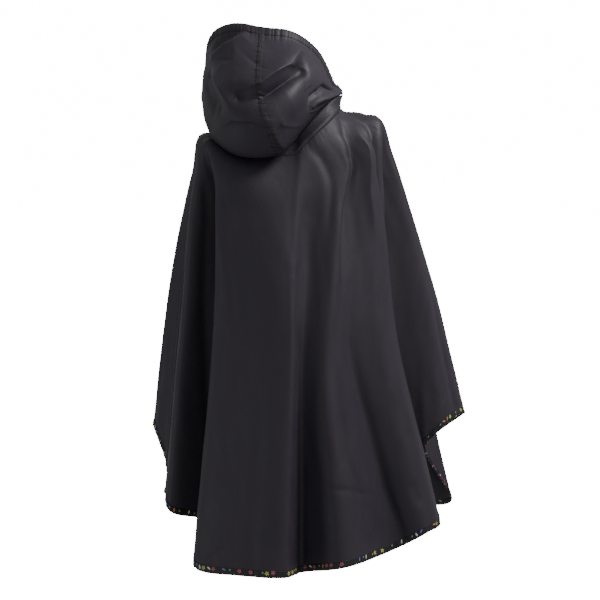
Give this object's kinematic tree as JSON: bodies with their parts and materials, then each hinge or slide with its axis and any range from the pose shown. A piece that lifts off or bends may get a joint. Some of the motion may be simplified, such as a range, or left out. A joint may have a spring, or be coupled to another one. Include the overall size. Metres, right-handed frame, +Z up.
{
  "type": "rain poncho",
  "caption": "Black hooded rain poncho with bound hem, hanging in folds as it is worn, with the hood up.",
  "frame": {"origin": "base of the neck, where the wearer's shoulders carry the poncho", "axes": "+Z up, +Y to the wearer's back, +X to the wearer's left"},
  "size_m": [0.736, 0.6838, 1.1823],
  "materials": {
    "shell_cloth": "satin",
    "strip_cloth": "satin",
    "printed_binding": "matte"
  },
  "bodies": {
    "root": {"back_panel": "shell_cloth", "front_panel": "shell_cloth", "side_seam_left": "strip_cloth", "side_seam_right": "strip_cloth", "hem_binding_back": "printed_binding", "hem_binding_front": "printed_binding", "neckband": "strip_cloth", "hood_left": "shell_cloth", "hood_right": "shell_cloth", "hood_seam": "strip_cloth", "hood_casing": "strip_cloth"}
  },
  "joints": []
}
